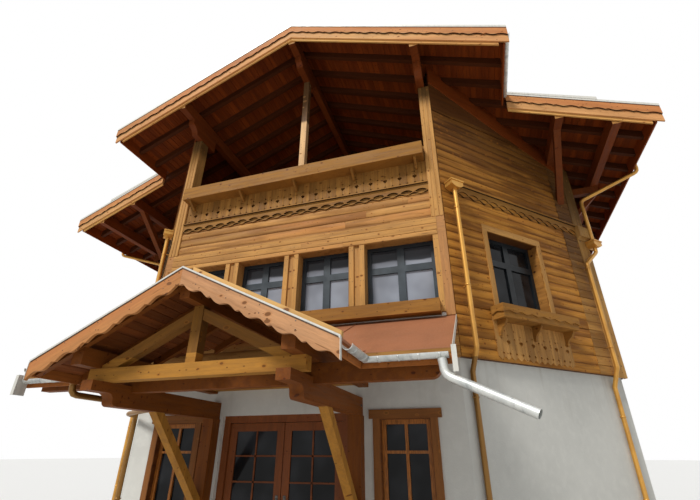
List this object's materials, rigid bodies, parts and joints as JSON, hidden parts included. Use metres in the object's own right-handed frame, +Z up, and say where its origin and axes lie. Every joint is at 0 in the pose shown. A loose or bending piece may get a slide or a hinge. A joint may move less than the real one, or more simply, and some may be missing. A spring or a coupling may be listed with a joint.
{
  "type": "alpine chalet",
  "caption": "Alpine chalet with a plastered ground storey, timber upper storey with slanting corner walls, recessed balcony, wide gable roof and a gabled porch.",
  "frame": {"origin": "ground level at the middle of the plan, on the underside of the ground slab", "axes": "+X along the front to the right as seen from outside, +Y from the front into the building, +Z up"},
  "size_m": [12.73, 11.362, 9.8848],
  "materials": {
    "apron_timber": "oiled",
    "barge_timber": "oiled, knotty",
    "beam_timber": "oiled",
    "box_timber": "oiled",
    "brace_timber": "oiled",
    "concrete_floor": "rough",
    "copper": "weathered copper",
    "door_timber": "stained",
    "drip_metal": "plain",
    "floor_timber": "sawn",
    "loggia_timber": "stained boards",
    "parapet_timber": "oiled",
    "plaster": "rough painted plaster",
    "porch_timber": "oiled",
    "post_timber": "oiled",
    "roof_sheet_metal": "matt coating",
    "roof_tiles": "matt",
    "soffit_timber": "stained",
    "soil": "loose dark planting soil",
    "trim_timber": "oiled",
    "wall_timber": "weathered boards",
    "window_frame_paint": "satin",
    "window_glass": "clear",
    "zinc": "dull"
  },
  "bodies": {
    "house": {"ground_slab": "concrete_floor", "ground_front_wall": "plaster", "ground_wall_over_door": "plaster", "ground_cant_walls": "plaster", "ground_side_walls": "plaster", "ground_back_wall": "plaster", "upper_floor": "floor_timber", "upper_front_wall": "wall_timber", "upper_cant_walls": "wall_timber", "upper_side_walls": "wall_timber", "upper_back_wall": "wall_timber", "attic_floor": "floor_timber", "loggia_wall": "loggia_timber", "corner_posts": "post_timber", "front_posts": "post_timber", "far_corner_boards": "post_timber", "centre_post": "post_timber", "balcony_parapet": "parapet_timber", "scalloped_trim": "trim_timber", "flower_boxes": "box_timber", "planting_soil": "soil", "purlins": "beam_timber", "purlin_bolsters": "beam_timber", "purlin_struts": "beam_timber", "rafters": "beam_timber", "roof_boards": "soffit_timber", "roof_sheet": "roof_tiles", "ridge_cap": "roof_sheet_metal", "bargeboards": "barge_timber", "verge_flashings": "drip_metal", "eave_boards": "soffit_timber", "roof_gutters": "zinc", "downpipes": "copper", "eave_pipes": "copper", "porch_side_beams": "porch_timber", "porch_posts": "porch_timber", "porch_braces": "brace_timber", "porch_truss": "brace_timber", "porch_purlins": "porch_timber", "porch_rafters": "porch_timber", "porch_roof_boards": "soffit_timber", "porch_roof_sheet": "roof_sheet_metal", "porch_bargeboards": "barge_timber", "porch_gutters": "zinc", "spout_pipe": "zinc", "door_frame": "door_timber", "window_frames": "window_frame_paint", "window_glass": "window_glass", "window_surrounds": "box_timber", "carved_aprons": "apron_timber", "loggia_door": "door_timber"},
    "leaf_left": {"door_leaf_left": "door_timber", "door_glass_left": "window_glass"},
    "leaf_right": {"door_leaf_right": "door_timber", "door_glass_right": "window_glass"}
  },
  "joints": [
    {"name": "entrance_leaf_left", "type": "hinge", "parent": "house", "child": "leaf_left", "pos_m": [-0.897, -3.777, 0.12], "axis": [0, 0, 1], "range_deg": [0, 90]},
    {"name": "entrance_leaf_right", "type": "hinge", "parent": "house", "child": "leaf_right", "pos_m": [0.897, -3.777, 0.12], "axis": [0, 0, -1], "range_deg": [0, 90]}
  ]
}
